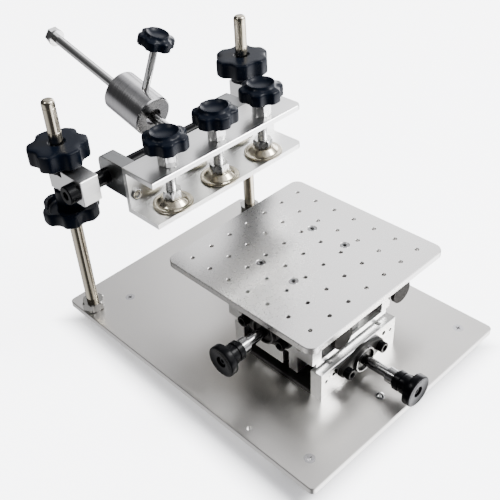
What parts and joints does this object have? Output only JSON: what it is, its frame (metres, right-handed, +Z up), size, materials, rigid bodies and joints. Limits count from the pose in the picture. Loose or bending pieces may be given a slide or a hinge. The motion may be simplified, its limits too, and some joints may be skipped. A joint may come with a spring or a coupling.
{
  "type": "stencil printing station",
  "caption": "Bench station for printing solder paste: pierced work table on a two way cross slide, and a stencil clamp on two posts, balanced by a sliding weight.",
  "frame": {"origin": "middle of the base plate's underside, one foot height above the bench", "axes": "+Z up, +Y from the operator towards the posts and the counterweight, +X to the operator's right along the clamp"},
  "size_m": [0.231, 0.3943, 0.2197],
  "materials": {
    "base_plate_finish": "satin, brushed",
    "table_finish": "satin, brushed",
    "milled_aluminium": "satin, milled",
    "black_knob": "matt, fine grained",
    "black_metal": "satin black oxide",
    "steel": "turned, bright",
    "nickel_steel": "warm nickel plate",
    "weight_steel": "turned, bright",
    "rubber": "matt"
  },
  "bodies": {
    "base": {"base_plate": "base_plate_finish", "rubber_feet": "rubber", "foot_screws": "steel", "dome_screw": "steel", "left_post": "nickel_steel", "right_post": "nickel_steel", "post_base_nuts": "nickel_steel", "lower_floor": "milled_aluminium", "lower_front_plate": "milled_aluminium", "lower_back_plate": "milled_aluminium", "lower_guides": "steel", "lower_bearing": "black_metal", "lower_bearing_screws": "black_metal"},
    "lower_screw": {"lower_lead_screw": "steel", "lower_hand_knob": "black_metal"},
    "lower_slide": {"lower_carriage": "milled_aluminium", "upper_floor": "milled_aluminium", "upper_left_plate": "milled_aluminium", "upper_right_plate": "milled_aluminium", "upper_guides": "steel", "upper_bearing": "black_metal", "upper_bearing_screws": "black_metal"},
    "upper_screw": {"upper_lead_screw": "steel", "upper_hand_knob": "black_metal"},
    "upper_slide": {"upper_carriage": "milled_aluminium", "table_bracket": "milled_aluminium", "work_table": "table_finish", "table_screws": "steel", "stop_discs": "black_metal"},
    "lift": {"left_mount_block": "milled_aluminium", "right_mount_block": "milled_aluminium"},
    "left_lower_knob": {"left_lower_knob": "black_knob"},
    "left_upper_knob": {"left_upper_knob": "black_knob"},
    "right_lower_knob": {"right_lower_knob": "black_knob"},
    "right_upper_knob": {"right_upper_knob": "black_knob"},
    "clamp": {"pivot_bolt": "black_metal", "pivot_ring": "black_metal", "left_arm": "milled_aluminium", "right_arm": "milled_aluminium", "arm_screws": "black_metal", "grip_screws": "black_metal", "clamp_channel": "milled_aluminium", "clamp_nuts": "nickel_steel", "counterweight_rod": "steel"},
    "weight": {"counterweight": "weight_steel"},
    "lock": {"lock_stud": "steel", "lock_knob": "black_knob"},
    "pad_1": {"clamp_pad_1": "nickel_steel"},
    "pad_screw_1": {"pad_stud_1": "nickel_steel", "pad_knob_1": "black_knob", "pad_lock_nut_1": "nickel_steel"},
    "pad_2": {"clamp_pad_2": "nickel_steel"},
    "pad_screw_2": {"pad_stud_2": "nickel_steel", "pad_knob_2": "black_knob", "pad_lock_nut_2": "nickel_steel"},
    "pad_3": {"clamp_pad_3": "nickel_steel"},
    "pad_screw_3": {"pad_stud_3": "nickel_steel", "pad_knob_3": "black_knob", "pad_lock_nut_3": "nickel_steel"}
  },
  "joints": [
    {"name": "lower_screw_turn", "type": "hinge", "parent": "base", "child": "lower_screw", "pos_m": [-0.001, -0.0915, 0.02], "axis": [0, -1, 0], "range_deg": [-2525, 1625]},
    {"name": "lower_slide_travel", "type": "slide", "parent": "base", "child": "lower_slide", "axis": [0, 1, 0], "range_m": [-0.014, 0.009]},
    {"name": "upper_screw_turn", "type": "hinge", "parent": "lower_slide", "child": "upper_screw", "pos_m": [-0.044, -0.043, 0.0465], "axis": [-1, 0, 0], "range_deg": [-3605, 3605]},
    {"name": "upper_slide_travel", "type": "slide", "parent": "lower_slide", "child": "upper_slide", "axis": [1, 0, 0], "range_m": [-0.02, 0.02]},
    {"name": "lift_travel", "type": "slide", "parent": "base", "child": "lift", "axis": [0, 0, 1], "range_m": [-0.035, 0.03]},
    {"name": "left_lower_knob_turn", "type": "hinge", "parent": "lift", "child": "left_lower_knob", "pos_m": [-0.093, 0.1145, 0.106], "axis": [0, 0, 1], "range_deg": [-8405, 7205]},
    {"name": "left_upper_knob_turn", "type": "hinge", "parent": "lift", "child": "left_upper_knob", "pos_m": [-0.093, 0.1145, 0.157], "axis": [0, 0, 1], "range_deg": [-8405, 7205]},
    {"name": "right_lower_knob_turn", "type": "hinge", "parent": "lift", "child": "right_lower_knob", "pos_m": [0.093, 0.1145, 0.106], "axis": [0, 0, 1], "range_deg": [-8405, 7205]},
    {"name": "right_upper_knob_turn", "type": "hinge", "parent": "lift", "child": "right_upper_knob", "pos_m": [0.093, 0.1145, 0.157], "axis": [0, 0, 1], "range_deg": [-8405, 7205]},
    {"name": "clamp_tilt", "type": "hinge", "parent": "lift", "child": "clamp", "pos_m": [0, 0.0875, 0.136], "axis": [-1, 0, 0], "range_deg": [-10, 52]},
    {"name": "pad_1_travel", "type": "slide", "parent": "clamp", "child": "pad_1", "axis": [0, 0, 1], "range_m": [0, 0.014]},
    {"name": "pad_screw_1_turn", "type": "hinge", "parent": "pad_1", "child": "pad_screw_1", "pos_m": [-0.0485, 0.0445, 0.135], "axis": [0, 0, 1], "range_deg": [-5, 4037]},
    {"name": "pad_2_travel", "type": "slide", "parent": "clamp", "child": "pad_2", "axis": [0, 0, 1], "range_m": [0, 0.014]},
    {"name": "pad_screw_2_turn", "type": "hinge", "parent": "pad_2", "child": "pad_screw_2", "pos_m": [-0.002, 0.0445, 0.135], "axis": [0, 0, 1], "range_deg": [-5, 4037]},
    {"name": "pad_3_travel", "type": "slide", "parent": "clamp", "child": "pad_3", "axis": [0, 0, 1], "range_m": [0, 0.014]},
    {"name": "pad_screw_3_turn", "type": "hinge", "parent": "pad_3", "child": "pad_screw_3", "pos_m": [0.0445, 0.0445, 0.135], "axis": [0, 0, 1], "range_deg": [-5, 4037]},
    {"name": "weight_travel", "type": "slide", "parent": "clamp", "child": "weight", "axis": [0, 0.965, 0.2622], "range_m": [-0.015, 0.05]},
    {"name": "lock_turn", "type": "hinge", "parent": "weight", "child": "lock", "pos_m": [-0.003, 0.13189, 0.14806], "axis": [0.1994, -0.2569, 0.9456], "continuous": true}
  ],
  "couplings": [
    {"joint": "lower_screw_turn", "follows": "lower_slide_travel", "rad_per_m": 3141.6},
    {"joint": "upper_screw_turn", "follows": "upper_slide_travel", "rad_per_m": 3141.6},
    {"joint": "left_lower_knob_turn", "follows": "lift_travel", "rad_per_m": 4188.8},
    {"joint": "left_upper_knob_turn", "follows": "lift_travel", "rad_per_m": 4188.8},
    {"joint": "right_lower_knob_turn", "follows": "lift_travel", "rad_per_m": 4188.8},
    {"joint": "right_upper_knob_turn", "follows": "lift_travel", "rad_per_m": 4188.8},
    {"joint": "pad_screw_1_turn", "follows": "pad_1_travel", "rad_per_m": 5026.5},
    {"joint": "pad_screw_2_turn", "follows": "pad_2_travel", "rad_per_m": 5026.5},
    {"joint": "pad_screw_3_turn", "follows": "pad_3_travel", "rad_per_m": 5026.5}
  ]
}
